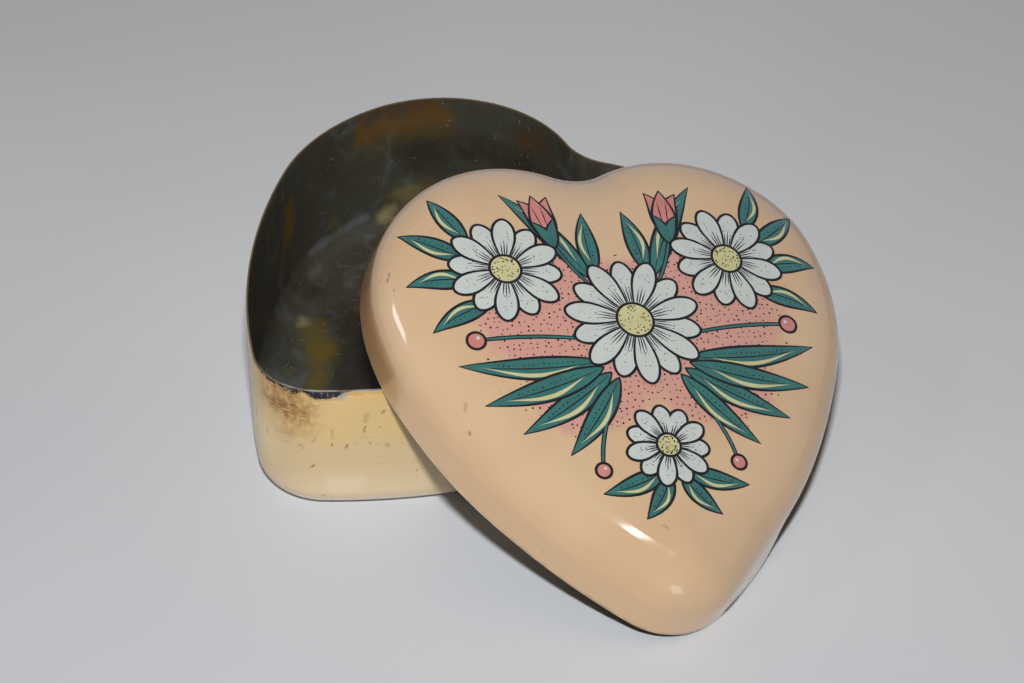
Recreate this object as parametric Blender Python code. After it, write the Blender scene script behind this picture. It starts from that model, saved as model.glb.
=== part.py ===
"""Heart-shaped tinplate trinket box: a drawn base and a domed lid that slips over it.

The box lies open. The base stands on the table, and the lid leans on its rim with the tip on the table.
The heart's width runs along X, its cleft faces +Y and its tip faces -Y. The origin is the middle of the
base's underside.
"""

import math

import bmesh
import bpy
from mathutils import Vector

# Driving dimensions, in metres unless a name says degrees
SHEET_THICKNESS = 0.0003
HEART_WIDTH = 0.0700
CROWN_RADIUS = 0.0217
FLANK_RADIUS = 0.0294
FLANK_START_DEGREES = 20.0
CLEFT_RADIUS = 0.0100
SIDE_RADIUS = 0.0880
TIP_RADIUS = 0.0104
CROWN_TO_TIP = 0.0410
BASE_HEIGHT = 0.0231
BASE_CORNER_RADIUS = 0.0038
SLIP_GAP = 0.0007
SKIRT_HEIGHT = 0.0066
SHOULDER_WIDTH = 0.0087
SHOULDER_RISE = 0.0058
DOME_RISE = 0.0015
DOME_CENTRE_BELOW_CROWN = 0.0100
LID_PLACE = (0.0355, -0.0019, 0.0146)
LID_TURN_DEGREES = (22.3, 11.6, 58.8)

# How finely each round stretch is divided
CLEFT_STEPS = 4
CROWN_STEPS = 12
FLANK_STEPS = 6
SIDE_STEPS = 8
TIP_STEPS = 6
CORNER_STEPS = 6
SHOULDER_STEPS = 7
DOME_SHRINKS = (0.80, 0.55, 0.28)
SMOOTH_ANGLE_DEGREES = 40.0

# Worked out from the dimensions above
HEART_LENGTH = CROWN_RADIUS + CROWN_TO_TIP + TIP_RADIUS
CROWN_Y = HEART_LENGTH / 2 - CROWN_RADIUS
LID_STANDS_OUT = SHEET_THICKNESS + SLIP_GAP
DOME_CENTRE = Vector((0.0, CROWN_Y - DOME_CENTRE_BELOW_CROWN))

# Colours, as sRGB values from 0 to 1
LID_ENAMEL = (0.85, 0.71, 0.56)
BASE_ENAMEL = (0.85, 0.75, 0.56)
ENAMEL_ROUGHNESS = 0.25


def clear_scene():
    for old in list(bpy.data.objects):
        bpy.data.objects.remove(old, do_unlink=True)


def direction(angle):
    """The unit vector at an angle in radians."""
    return Vector((math.cos(angle), math.sin(angle)))


def angle_of(vector):
    return math.atan2(vector.y, vector.x)


def side_centre(flank, tip):
    """The centre of the long side arc, which holds the flank arc and the tip arc inside it and touches both."""
    to_flank = SIDE_RADIUS - FLANK_RADIUS
    to_tip = SIDE_RADIUS - TIP_RADIUS
    apart = (tip - flank).length
    along = (tip - flank) / apart
    across = Vector((along.y, -along.x))
    reach = (to_flank**2 - to_tip**2 + apart**2) / (2 * apart)
    return flank + along * reach + across * math.sqrt(to_flank**2 - reach**2)


def arc(centre, radius, start, end, steps, hollow=False):
    """(point, outward normal) pairs along an arc, without its last point."""
    pairs = []
    for step in range(steps):
        outward = direction(start + (end - start) * step / steps)
        pairs.append((centre + outward * radius, -outward if hollow else outward))
    return pairs


def half_heart():
    """The right half of the base's outline, from the middle of the cleft to the tip, as arcs that run smoothly on."""
    flank_start = math.radians(FLANK_START_DEGREES)
    crown_x = HEART_WIDTH / 2 - FLANK_RADIUS - (CROWN_RADIUS - FLANK_RADIUS) * math.cos(flank_start)
    crown = Vector((crown_x, CROWN_Y))
    flank = crown + direction(flank_start) * (CROWN_RADIUS - FLANK_RADIUS)
    cleft = Vector((0.0, CROWN_Y + math.sqrt((CROWN_RADIUS + CLEFT_RADIUS) ** 2 - crown_x**2)))
    tip = Vector((0.0, CROWN_Y - CROWN_TO_TIP))
    side = side_centre(flank, tip)
    side_start = angle_of(flank - side)
    side_end = angle_of(tip - side)
    down = -math.pi / 2
    pairs = arc(cleft, CLEFT_RADIUS, down, angle_of(crown - cleft), CLEFT_STEPS, hollow=True)
    pairs += arc(crown, CROWN_RADIUS, angle_of(cleft - crown), flank_start, CROWN_STEPS)
    pairs += arc(flank, FLANK_RADIUS, flank_start, side_start, FLANK_STEPS)
    pairs += arc(side, SIDE_RADIUS, side_start, side_end, SIDE_STEPS)
    pairs += arc(tip, TIP_RADIUS, side_end, down, TIP_STEPS)
    pairs.append((tip + direction(down) * TIP_RADIUS, direction(down)))
    return pairs


def heart_outline():
    """The whole outline as (point, outward normal) pairs, anticlockwise seen from above."""
    right = half_heart()
    mirror = Vector((-1.0, 1.0))
    left = [(point * mirror, normal * mirror) for point, normal in right]
    return left + right[-2:0:-1]


def base_rings(outline):
    """Rings of points from the flat underside, round the bottom corner and up the wall to the rim."""
    rings = []
    for step in range(CORNER_STEPS + 1):
        turn = math.pi / 2 * step / CORNER_STEPS
        inset = BASE_CORNER_RADIUS * (1 - math.sin(turn))
        height = BASE_CORNER_RADIUS * (1 - math.cos(turn))
        rings.append([(point - normal * inset).to_3d() + Vector((0, 0, height)) for point, normal in outline])
    rings.append([point.to_3d() + Vector((0, 0, BASE_HEIGHT)) for point, _ in outline])
    return rings


def shoulder_ring(outline, turn):
    """One ring of the lid's shoulder: a quarter ellipse, sloped so that it runs smoothly into the dome."""
    inset = SHOULDER_WIDTH * (1 - math.cos(turn))
    ring = []
    for point, normal in outline:
        outer = point + normal * LID_STANDS_OUT
        dome_edge = outer - normal * SHOULDER_WIDTH
        slope = 2 * DOME_RISE / (dome_edge - DOME_CENTRE).dot(normal)
        rise = (SHOULDER_RISE - slope * SHOULDER_WIDTH) * math.sin(turn) + slope * inset
        ring.append((outer - normal * inset).to_3d() + Vector((0, 0, SKIRT_HEIGHT + rise)))
    return ring


def lid_rings(outline):
    """Rings of points from the lid's open rim, up the skirt, round the shoulder and in over the dome."""
    rings = [[(point + normal * LID_STANDS_OUT).to_3d() for point, normal in outline]]
    for step in range(SHOULDER_STEPS + 1):
        rings.append(shoulder_ring(outline, math.pi / 2 * step / SHOULDER_STEPS))
    dome_edge = rings[-1]
    centre = DOME_CENTRE.to_3d() + Vector((0, 0, SKIRT_HEIGHT + SHOULDER_RISE))
    for shrink in DOME_SHRINKS:
        lift = Vector((0, 0, DOME_RISE * (1 - shrink**2)))
        rings.append([centre + (point - centre) * shrink + lift for point in dome_edge])
    return rings


def sheet_metal(name, rings, closed_end, material):
    """A pressed sheet: the outer skin through the rings, closed at one end, thickened inwards."""
    shape = bmesh.new()
    loops = [[shape.verts.new(point) for point in ring] for ring in rings]
    for lower, upper in zip(loops, loops[1:]):
        for index in range(len(lower)):
            following = (index + 1) % len(lower)
            shape.faces.new((lower[index], lower[following], upper[following], upper[index]))
    shape.faces.new(loops[closed_end] if closed_end else reversed(loops[closed_end]))
    mesh = bpy.data.meshes.new(name)
    shape.to_mesh(mesh)
    shape.free()
    mesh.shade_smooth()
    mesh.set_sharp_from_angle(angle=math.radians(SMOOTH_ANGLE_DEGREES))
    mesh.materials.append(material)
    piece = bpy.data.objects.new(name, mesh)
    bpy.context.scene.collection.objects.link(piece)
    thicken = piece.modifiers.new("sheet thickness", "SOLIDIFY")
    thicken.thickness = SHEET_THICKNESS
    thicken.offset = -1.0
    thicken.use_even_offset = True
    return piece


def linear(srgb):
    """An sRGB colour as the linear values that a shader takes, with full alpha."""
    return [c / 12.92 if c <= 0.04045 else ((c + 0.055) / 1.055) ** 2.4 for c in srgb] + [1.0]


def enamel(name, srgb):
    """Glossy enamel paint on tinplate."""
    material = bpy.data.materials.new(name)
    material.use_nodes = True
    shader = material.node_tree.nodes["Principled BSDF"]
    shader.inputs["Base Color"].default_value = linear(srgb)
    shader.inputs["Roughness"].default_value = ENAMEL_ROUGHNESS
    shader.inputs["Metallic"].default_value = 0.0
    return material


def main():
    clear_scene()
    outline = heart_outline()
    sheet_metal("base_tin", base_rings(outline), 0, enamel("base enamel", BASE_ENAMEL))
    lid = sheet_metal("lid_tin", lid_rings(outline), -1, enamel("lid enamel", LID_ENAMEL))
    lid.location = LID_PLACE
    lid.rotation_euler = [math.radians(turn) for turn in LID_TURN_DEGREES]


main()
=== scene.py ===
"""Looks of the heart-shaped tin: pressed base and lid, the lid's flower print, the floor, light and camera.

The meshes are in metres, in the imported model's frame. Plan places on the lid and places inside finishes are
in millimetres, because the print and the wear are drawn at that size.
"""

import logging
import math
from dataclasses import dataclass, field
from enum import Enum
from functools import reduce
from typing import Callable, Optional, Sequence, Union

import bpy
import numpy as np
from mathutils import Euler, Matrix, Vector


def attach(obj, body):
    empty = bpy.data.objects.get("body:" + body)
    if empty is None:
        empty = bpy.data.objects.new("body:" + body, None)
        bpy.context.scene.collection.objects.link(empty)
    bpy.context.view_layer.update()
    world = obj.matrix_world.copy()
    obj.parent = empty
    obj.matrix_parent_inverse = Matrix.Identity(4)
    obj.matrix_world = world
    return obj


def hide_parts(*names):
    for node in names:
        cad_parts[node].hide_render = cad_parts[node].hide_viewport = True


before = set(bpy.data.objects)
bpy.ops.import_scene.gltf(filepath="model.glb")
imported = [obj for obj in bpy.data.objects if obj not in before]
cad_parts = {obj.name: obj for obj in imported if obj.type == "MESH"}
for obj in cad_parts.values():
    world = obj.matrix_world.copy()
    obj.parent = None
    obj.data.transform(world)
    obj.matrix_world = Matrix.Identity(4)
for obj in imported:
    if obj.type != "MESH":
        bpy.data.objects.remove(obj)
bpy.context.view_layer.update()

LOG = logging.getLogger("heart_tin")
MM = 0.001
MICRON = 1e-6
LID_GLOSS = {"Coat_Roughness": 0.068, "Coat_IOR": 1.5}

Array = np.ndarray
Colour = tuple[float, float, float]
Place = tuple[float, float, float]
Plan = Union[tuple[float, float], Array]
Span = tuple[float, float]
Value = Union[float, Sequence[float], "Wire"]


def linear(srgb: Colour) -> tuple[float, float, float, float]:
    """The linear shader colour, with full alpha, of an sRGB colour given in bytes."""
    shares = [byte / 255 for byte in srgb]
    return (*[s / 12.92 if s <= 0.04045 else ((s + 0.055) / 1.055) ** 2.4 for s in shares], 1.0)


def unit(vectors: Array) -> Array:
    """Vectors scaled to length one along their last axis."""
    return vectors / np.linalg.norm(vectors, axis=-1, keepdims=True)


# Shader wiring


def math_method(operation: str, reflected: bool = False) -> Callable[..., "Wire"]:
    """A method of a wire that adds one Math node.

    Args:
        operation: What the node does.
        reflected: Whether the wire is the second value, and not the first.

    Returns:
        The method, which takes the other value.
    """

    def apply(wire: "Wire", other: Value = 0.0) -> "Wire":
        """The operation on this wire and another value."""
        values = (other, wire) if reflected else (wire, other)
        return wire.bench.node("ShaderNodeMath", {"operation": operation}, dict(enumerate(values)))

    return apply


@dataclass(frozen=True)
class Wire:
    """An output socket of a bench's tree that takes part in sums: each operator adds one Math node."""

    bench: "Bench"
    socket: bpy.types.NodeSocket
    __add__ = math_method("ADD")
    __radd__ = math_method("ADD", reflected=True)
    __sub__ = math_method("SUBTRACT")
    __rsub__ = math_method("SUBTRACT", reflected=True)
    __mul__ = math_method("MULTIPLY")
    __rmul__ = math_method("MULTIPLY", reflected=True)
    absolute = math_method("ABSOLUTE")
    larger = math_method("MAXIMUM")
    smaller = math_method("MINIMUM")


class Bench:
    """The node tree of a material or a world round its one shader, and the node forms that finishes share."""

    def __init__(self, owner: Union[bpy.types.Material, bpy.types.World], shader: str) -> None:
        """Starts the owner's node tree around the shader that it begins with."""
        self.owner = owner
        owner.use_nodes = True
        self.tree = owner.node_tree
        self.shader = self.tree.nodes[shader]

    @classmethod
    def material(cls, name: str) -> "Bench":
        """A bench for a new material with a bare Principled shader."""
        return cls(bpy.data.materials.new(name), "Principled BSDF")

    def feed(self, socket: bpy.types.NodeSocket, value: Value) -> None:
        """Links a wire to a socket, or sets the socket to a plain value."""
        if isinstance(value, Wire):
            self.tree.links.new(value.socket, socket)
        else:
            socket.default_value = value

    def node(
        self,
        kind: str,
        settings: Optional[dict[str, object]] = None,
        inputs: Optional[dict[Union[int, str], Value]] = None,
        output: Union[int, str] = 0,
    ) -> Wire:
        """Adds a node.

        Args:
            kind: The node's type name.
            settings: Its properties, which are set before its sockets.
            inputs: Values or wires for its input sockets, by name or number.
            output: The output socket that the wire takes.

        Returns:
            The output socket as a wire.
        """
        made = self.tree.nodes.new(kind)
        for setting, value in (settings or {}).items():
            setattr(made, setting, value)
        for key, value in (inputs or {}).items():
            self.feed(made.inputs[key], value)
        return Wire(self, made.outputs[output])

    def vector(self, operation: str, first: Value, second: Value = (0.0, 0.0, 0.0), output: int = 0) -> Wire:
        """One Vector Math node on two vectors."""
        return self.node("ShaderNodeVectorMath", {"operation": operation}, {0: first, 1: second}, output)

    def place(self, turn: Place = (0.0, 0.0, 0.0), origin: Place = (0.0, 0.0, 0.0)) -> Wire:
        """Object coordinates in millimetres, seen from a frame with its own origin and turn.

        Args:
            turn: The frame's Euler angles, in radians.
            origin: The frame's origin, in metres.

        Returns:
            The place as a vector wire.
        """
        own = self.node("ShaderNodeTexCoord", output="Object")
        inputs = {"Vector": own, "Location": origin, "Rotation": turn, "Scale": (MM, MM, MM)}
        return self.node("ShaderNodeMapping", {"vector_type": "TEXTURE"}, inputs)

    def axes(self, place: Wire) -> tuple[Wire, Wire, Wire]:
        """The three parts of a vector."""
        split = self.node("ShaderNodeSeparateXYZ", inputs={0: place})
        outputs = split.socket.node.outputs
        return Wire(self, outputs[0]), Wire(self, outputs[1]), Wire(self, outputs[2])

    def noise(self, place: Wire, grain: float, detail: float = 2.0, warp: float = 0.0) -> Wire:
        """Cloudy noise around 0.5.

        Args:
            place: Where on the piece, in millimetres.
            grain: The clouds' size, in millimetres.
            detail: How many finer layers are added.
            warp: How far the clouds are stirred.

        Returns:
            The noise as a value wire.
        """
        inputs = {"Vector": place, "Scale": 1.0 / grain, "Detail": detail, "Distortion": warp}
        return self.node("ShaderNodeTexNoise", {"noise_dimensions": "3D"}, inputs)

    def step(self, value: Wire, low: Value, high: Value) -> Wire:
        """A smooth step from 0 at low to 1 at high."""
        inputs = {"Value": value, "From Min": low, "From Max": high}
        return self.node("ShaderNodeMapRange", {"interpolation_type": "SMOOTHSTEP"}, inputs)

    def wander(self, place: Wire, scale: float, detail: float, spread: float) -> Wire:
        """Places moved by a small cloudy offset, which makes the edges of marks ragged.

        Args:
            place: Where on the piece, in millimetres.
            scale: How many clouds to a millimetre.
            detail: How many finer layers are added.
            spread: The offset's whole range, in millimetres.

        Returns:
            The moved places as a vector wire.
        """
        inputs = {"Vector": place, "Scale": scale, "Detail": detail}
        stir = self.node("ShaderNodeTexNoise", {"noise_dimensions": "3D"}, inputs, "Color")
        offset = self.vector("SUBTRACT", stir, (0.5, 0.5, 0.5))
        return self.vector("ADD", place, self.vector("MULTIPLY", offset, (spread, spread, spread)))

    def oval(self, place: Wire, centre: Place, radii: Place) -> Wire:
        """How far out a place is in an ellipsoid: 0 at its centre and 1 on its surface."""
        offset = self.vector("SUBTRACT", place, centre)
        return self.vector("LENGTH", self.vector("DIVIDE", offset, radii), output=1)

    def reach(self, place: Wire, start: Place, end: Place) -> Wire:
        """The distance to a straight line between two points.

        Args:
            place: Where on the piece, in millimetres.
            start: The line's first point.
            end: Its last point.

        Returns:
            The distance in millimetres, as a value wire.
        """
        along = Vector(end) - Vector(start)
        offset = self.vector("SUBTRACT", place, start)
        share = self.vector("DOT_PRODUCT", offset, tuple(along / along.length_squared), 1)
        inputs = {0: tuple(along), "Scale": share.larger(0.0).smaller(1.0)}
        nearest = self.node("ShaderNodeVectorMath", {"operation": "SCALE"}, inputs)
        return self.vector("DISTANCE", offset, nearest, 1)

    def mix(self, share: Value, first: Value, second: Value) -> Wire:
        """A colour between two colours."""
        settings = {"data_type": "RGBA", "clamp_factor": True}
        return self.node("ShaderNodeMix", settings, {0: share, 6: first, 7: second}, 2)

    def tint(self, share: Value, under: Value, colour: Colour) -> Wire:
        """A colour with an sRGB colour laid over a share of it."""
        return self.mix(share, under, linear(colour))

    def bump(self, height: Wire, depth: float) -> None:
        """Raises the surface by a height from 0 to 1 times a depth in metres."""
        inputs = {"Strength": 1.0, "Distance": depth, "Height": height}
        self.feed(self.shader.inputs["Normal"], self.node("ShaderNodeBump", inputs=inputs))

    def finish(self, **sockets: Value) -> Union[bpy.types.Material, bpy.types.World]:
        """Feeds the shader's sockets.

        Args:
            sockets: Values or wires by socket name, with an underscore for each space.

        Returns:
            The finished material or world.
        """
        for name, value in sockets.items():
            self.feed(self.shader.inputs[name.replace("_", " ")], value)
        return self.owner


# Sizes that both sheets share


@dataclass(frozen=True)
class Rim:
    """An outline in plan: its points and its outward unit normals, each (count, 2), in metres."""

    points: Array
    normals: Array

    def rings(self, insets: Array, heights: Array) -> Array:
        """Rings at given heights, each the outline moved in by an inset.

        Args:
            insets: How far in each ring lies, (rows,).
            heights: The rings' heights, (rows,).

        Returns:
            Rings, (rows, count, 3).
        """
        flat = self.points[None] - self.normals[None] * insets[:, None, None]
        rise = np.broadcast_to(heights[:, None, None], flat.shape[:2] + (1,))
        return np.concatenate([flat, rise], axis=-1)


@dataclass(frozen=True)
class HeartOutline:
    """The base's outline: arcs that run smoothly into each other, mirrored across the heart's middle."""

    width: float = 0.0700
    crown_radius: float = 0.0217
    flank_radius: float = 0.0294
    flank_start: float = math.radians(20.0)
    cleft_radius: float = 0.0100
    side_radius: float = 0.0880
    tip_radius: float = 0.0104
    crown_to_tip: float = 0.0410

    @property
    def crown_y(self) -> float:
        """How far the crown arcs' centres lie above the middle of the heart's length."""
        return (self.crown_to_tip + self.tip_radius - self.crown_radius) / 2

    def arcs(self) -> list[tuple[Vector, float, float, float, float]]:
        """The right half's arcs, from the cleft to the tip.

        The side arc holds the flank and tip arcs inside it, so its centre is where two circles about their
        centres meet, with the differences of the radii as their radii.

        Returns:
            (centre, radius, start angle, end angle, facing) of each arc; facing is -1 on the hollow cleft.
        """
        rise = self.crown_radius - self.flank_radius
        crown = Vector((self.width / 2 - self.flank_radius - rise * math.cos(self.flank_start), self.crown_y))
        flank = crown + rise * Vector((math.cos(self.flank_start), math.sin(self.flank_start)))
        reach = self.crown_radius + self.cleft_radius
        cleft = Vector((0.0, self.crown_y + math.sqrt(reach**2 - crown.x**2)))
        tip = Vector((0.0, self.crown_y - self.crown_to_tip))
        to_flank = self.side_radius - self.flank_radius
        to_tip = self.side_radius - self.tip_radius
        apart = (tip - flank).length
        along = (tip - flank) / apart
        foot = (to_flank**2 - to_tip**2 + apart**2) / (2 * apart)
        side = flank + along * foot + Vector((along.y, -along.x)) * math.sqrt(to_flank**2 - foot**2)
        down = -math.pi / 2
        crown_start = math.atan2(cleft.y - crown.y, cleft.x - crown.x)
        side_start = math.atan2(flank.y - side.y, flank.x - side.x)
        side_end = math.atan2(tip.y - side.y, tip.x - side.x)
        return [
            (cleft, self.cleft_radius, down, crown_start - math.pi, -1.0),
            (crown, self.crown_radius, crown_start, self.flank_start, 1.0),
            (flank, self.flank_radius, self.flank_start, side_start, 1.0),
            (side, self.side_radius, side_start, side_end, 1.0),
            (tip, self.tip_radius, side_end, down, 1.0),
        ]

    def sample(self, count: int, stands_out: float = 0.0) -> Rim:
        """Points at even steps along the outline, anticlockwise from the cleft seen from above.

        A point is its arc's centre plus the radius times the unit vector at an angle that runs evenly with
        the length. The right half is mirrored for the left.

        Args:
            count: How many points, an even number.
            stands_out: How far outside the base's outline the points lie, in metres.

        Returns:
            The outline.
        """
        arcs = self.arcs()
        centres = np.array([tuple(centre) for centre, *_ in arcs])
        radii, starts, ends, facing = np.array([rest for _, *rest in arcs]).T
        lengths = radii * np.abs(ends - starts)
        joins = np.concatenate([[0.0], np.cumsum(lengths)])
        along = np.linspace(0.0, joins[-1], count // 2 + 1)
        arc = np.clip(np.searchsorted(joins, along, side="right") - 1, 0, len(arcs) - 1)
        angle = starts[arc] + (ends - starts)[arc] * (along - joins[arc]) / lengths[arc]
        outward = np.stack([np.cos(angle), np.sin(angle)], axis=-1)
        normals = outward * facing[arc, None]
        points = centres[arc] + outward * radii[arc, None] + normals * stands_out
        mirror = np.array([-1.0, 1.0])
        points = np.concatenate([points * mirror, points[-2:0:-1]])
        normals = np.concatenate([normals * mirror, normals[-2:0:-1]])
        return Rim(points, normals)


@dataclass(frozen=True)
class Sheet:
    """Tinplate: its thickness, and how many points go round each ring and over the cut edge."""

    thickness: float = 0.0003
    around: int = 360
    edge_steps: int = 6

    def skins(self, outer: Array) -> Array:
        """The inner skin's rings: each outer ring moved in along the normal by the sheet's thickness.

        The normal is the cross product of the step along a ring and the step to the next ring.

        Args:
            outer: Outer rings, (rows, around, 3), from the first to the last in the way the faces turn.

        Returns:
            Inner rings of the same shape.
        """
        along = np.roll(outer, -1, axis=1) - np.roll(outer, 1, axis=1)
        onward = np.gradient(outer, axis=0)
        return outer - unit(np.cross(along, onward)) * self.thickness

    def cut_edge(self, rim: Rim, height: float, turns: Array) -> Array:
        """The rounded cut edge: half a circle across the thickness, carried along the outline.

        Args:
            rim: The outer skin's outline.
            height: The height of the half circle's middle.
            turns: Angles across the edge, where 0 is outwards and a quarter turn is up.

        Returns:
            Rings, (turns, around, 3).
        """
        half = self.thickness / 2
        return rim.rings(half * (1.0 - np.cos(turns)), height + half * np.sin(turns))


def add_object(name: str, data: bpy.types.ID) -> bpy.types.Object:
    """Links a mesh, a lamp or a camera into the scene as an object at the origin."""
    piece = bpy.data.objects.new(name, data)
    bpy.context.scene.collection.objects.link(piece)
    return piece


def closed_shell(
    name: str,
    rings: Array,
    poles: Array,
    bands: Array,
    finishes: Sequence[bpy.types.Material],
) -> bpy.types.Object:
    """A closed skin: quads between neighbouring rings, and a fan of triangles to the pole at each end.

    Args:
        name: The piece's name.
        rings: (rows, count, 3), anticlockwise seen from above.
        poles: (2, 3), the points that close the first and the last ring.
        bands: (rows + 1,), the finish of each band of faces, the two fans included.
        finishes: The materials that the bands name.

    Returns:
        The piece, shaded smooth.
    """
    rows, count = rings.shape[:2]
    here = np.arange(rows * count).reshape(rows, count)
    onward = np.roll(here, -1, axis=1)
    quads = np.stack([here[:-1], onward[:-1], onward[1:], here[1:]], axis=-1).reshape(-1, 4)
    first = np.stack([onward[0], here[0], np.full(count, rows * count)], axis=-1)
    last = np.stack([here[-1], onward[-1], np.full(count, rows * count + 1)], axis=-1)
    vertices = np.concatenate([rings.reshape(-1, 3), poles])
    mesh = bpy.data.meshes.new(name)
    mesh.from_pydata(vertices.tolist(), [], [*quads.tolist(), *first.tolist(), *last.tolist()])
    for finish in finishes:
        mesh.materials.append(finish)
    slots = np.repeat(np.concatenate([bands[1:-1], bands[:1], bands[-1:]]), count)
    mesh.polygons.foreach_set("material_index", slots.astype(np.int32))
    mesh.shade_smooth()
    return add_object(name, mesh)


# Finishes


class Band(Enum):
    """The finishes of one pressed sheet, in the order of its material slots."""

    OUTSIDE = 0
    INSIDE = 1
    EDGE = 2


def band_slots(*runs: tuple[Band, int]) -> Array:
    """The finish of each band of faces, from runs of a finish and how many bands it covers."""
    return np.repeat([band.value for band, _ in runs], [count for _, count in runs])


@dataclass(frozen=True)
class LidPose:
    """Where the loose lid lies: its own frame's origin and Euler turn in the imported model."""

    origin: Place = (0.0355, -0.0019, 0.0146)
    turn: Place = (math.radians(22.3), math.radians(11.6), math.radians(58.8))

    def matrix(self) -> Matrix:
        """The lid's frame as a matrix."""
        return Matrix.Translation(self.origin) @ Euler(self.turn).to_matrix().to_4x4()

    def carry(self, points: Array) -> Array:
        """Points from the lid's own frame, (..., 3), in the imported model's frame."""
        matrix = np.array(self.matrix())
        return points @ matrix[:3, :3].T + matrix[:3, 3]


@dataclass(frozen=True)
class Cloud:
    """Cloudy noise cut to a mask: its grain in millimetres, its step from 0 to 1, its detail and its stir."""

    grain: float
    low: float
    high: float
    detail: float = 2.0
    warp: float = 0.0

    def mask(self, bench: Bench, place: Wire) -> Wire:
        """The mask, as a smooth step over the noise."""
        return bench.step(bench.noise(place, self.grain, self.detail, self.warp), self.low, self.high)


@dataclass(frozen=True)
class Patch:
    """A round patch: its centre and reach in millimetres, and the share of its reach that it fades over."""

    centre: Place
    reach: float
    soft: float

    def mask(self, bench: Bench, place: Wire) -> Wire:
        """1 within the patch, falling to 0 at its reach."""
        away = bench.vector("DISTANCE", place, self.centre, 1)
        return bench.step(away, self.reach, self.reach * (1.0 - self.soft))


@dataclass(frozen=True)
class Layer:
    """A colour laid over what is under it, and how much of it covers."""

    colour: Colour
    share: float

    def over(self, bench: Bench, mask: Wire, under: Value) -> Wire:
        """The colour under it, with this one laid over a mask."""
        return bench.tint(mask * self.share, under, self.colour)


@dataclass(frozen=True)
class Nick:
    """A short dark mark in the enamel, from one place to another, in millimetres."""

    start: Place
    end: Place
    radius: float
    depth: float = 1.0
    core: float = 0.4

    def mask(self, bench: Bench, place: Wire) -> Wire:
        """The mark's depth along its line, whole in its core and falling to nothing at its radius."""
        away = bench.reach(place, self.start, self.end)
        return bench.step(away, self.radius, self.radius * self.core) * self.depth


@dataclass(frozen=True)
class Stain:
    """A soft stain along a line between two places, in millimetres."""

    start: Place
    end: Place
    radius: float
    colour: Colour
    share: float
    fade: Span = (1.2, 0.1)

    def over(self, bench: Bench, place: Wire, waver: Wire, under: Value) -> Wire:
        """The colour under it, stained: strongest along its line, and fading to a wavering edge."""
        out = bench.reach(place, self.start, self.end) * (1.0 / self.radius) + waver
        return bench.tint(bench.step(out, *self.fade) * self.share, under, self.colour)


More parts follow.
